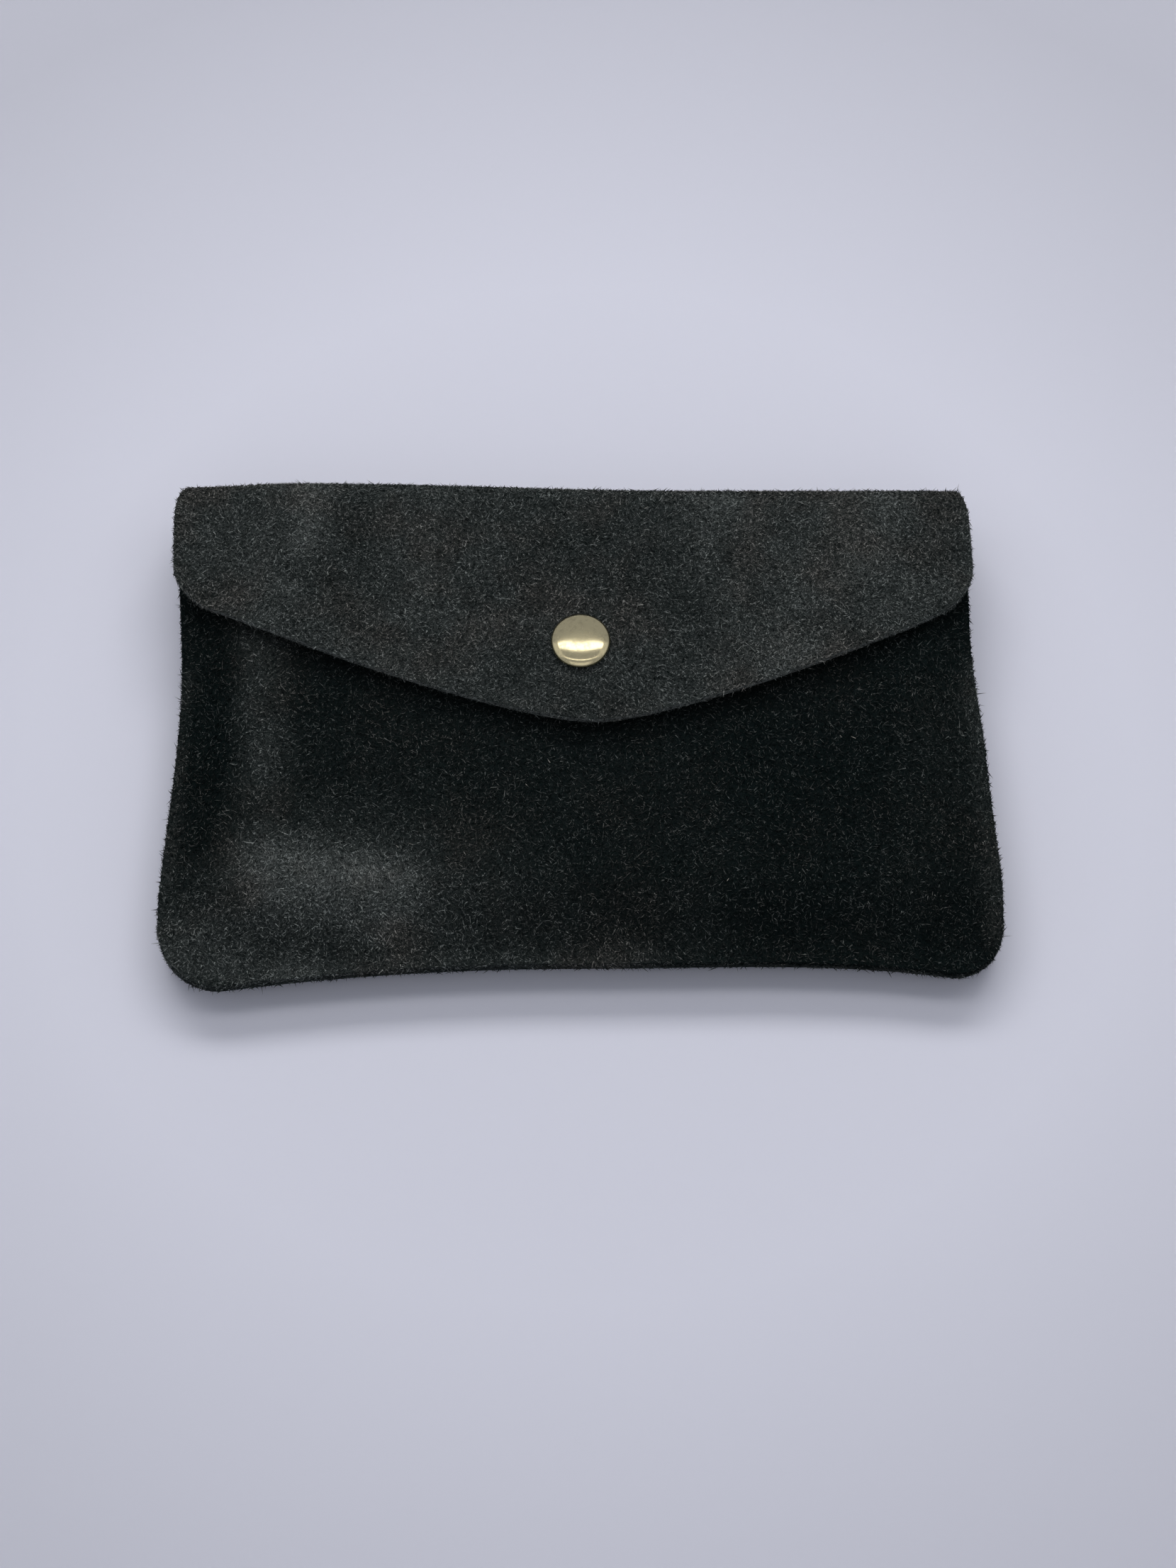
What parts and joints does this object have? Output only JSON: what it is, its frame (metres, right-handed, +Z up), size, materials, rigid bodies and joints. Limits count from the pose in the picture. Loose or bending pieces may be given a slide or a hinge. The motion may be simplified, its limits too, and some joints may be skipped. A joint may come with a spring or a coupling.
{
  "type": "card holder",
  "caption": "Suede envelope card holder with a pointed fold-over flap, a domed ring snap, folding side gussets, card slips and an inner zip pocket.",
  "frame": {"origin": "under the middle of the closed card holder's box, on the surface that it lies on", "axes": "+X across the width, +Y from the bottom seam to the fold, +Z up through the layers to the snap's dome"},
  "size_m": [0.146, 0.097, 0.0172],
  "materials": {
    "suede": "napped charcoal suede",
    "lining": "smooth matte split leather",
    "snap_brass": "polished pale gold",
    "zip_tape": "woven tape",
    "zip_coil": "nylon coil",
    "zip_metal": "satin pale gold"
  },
  "bodies": {
    "root": {"back_panel": "suede", "gusset_left_rear": "suede", "gusset_right_rear": "suede", "pocket_wall": "lining", "zip_facing": "lining", "card_slip_1": "lining", "card_slip_2": "lining", "card_slip_3": "lining", "zip_tape_lower": "zip_tape", "zip_tape_upper": "zip_tape", "zip_coil_lower": "zip_coil", "zip_coil_upper": "zip_coil", "zip_stop_left": "zip_metal", "zip_stop_right": "zip_metal"},
    "spine": {"flap_fold": "suede"},
    "flap": {"flap": "suede", "snap_cap": "snap_brass", "snap_socket": "snap_brass"},
    "front": {"front_panel": "suede", "gusset_left_front": "suede", "gusset_right_front": "suede", "snap_stud": "snap_brass", "stud_rivet": "snap_brass"},
    "zip_slider": {"zip_slider": "zip_metal"},
    "zip_pull": {"zip_pull": "zip_metal"}
  },
  "joints": [
    {"name": "lower_crease", "type": "hinge", "parent": "root", "child": "spine", "pos_m": [0, 0.04672, 0.00178], "axis": [-1, 0, 0], "range_deg": [0, 85]},
    {"name": "upper_crease", "type": "hinge", "parent": "spine", "child": "flap", "pos_m": [0, 0.04672, 0.01322], "axis": [-1, 0, 0], "range_deg": [0, 85]},
    {"name": "front_open", "type": "hinge", "parent": "root", "child": "front", "pos_m": [0, -0.0485, 0.0058], "axis": [1, 0, 0], "range_deg": [0, 15.1]},
    {"name": "zip_slide", "type": "slide", "parent": "root", "child": "zip_slider", "axis": [1, 0, 0], "range_m": [0, 0.0908]},
    {"name": "pull_swing", "type": "hinge", "parent": "zip_slider", "child": "zip_pull", "pos_m": [-0.0454, 0.034, 0.0062], "axis": [0, 1, 0], "range_deg": [0, 15]}
  ],
  "couplings": [
    {"joint": "upper_crease", "follows": "lower_crease", "ratio": 1},
    {"joint": "front_open", "follows": "lower_crease", "ratio": 0.1765}
  ]
}
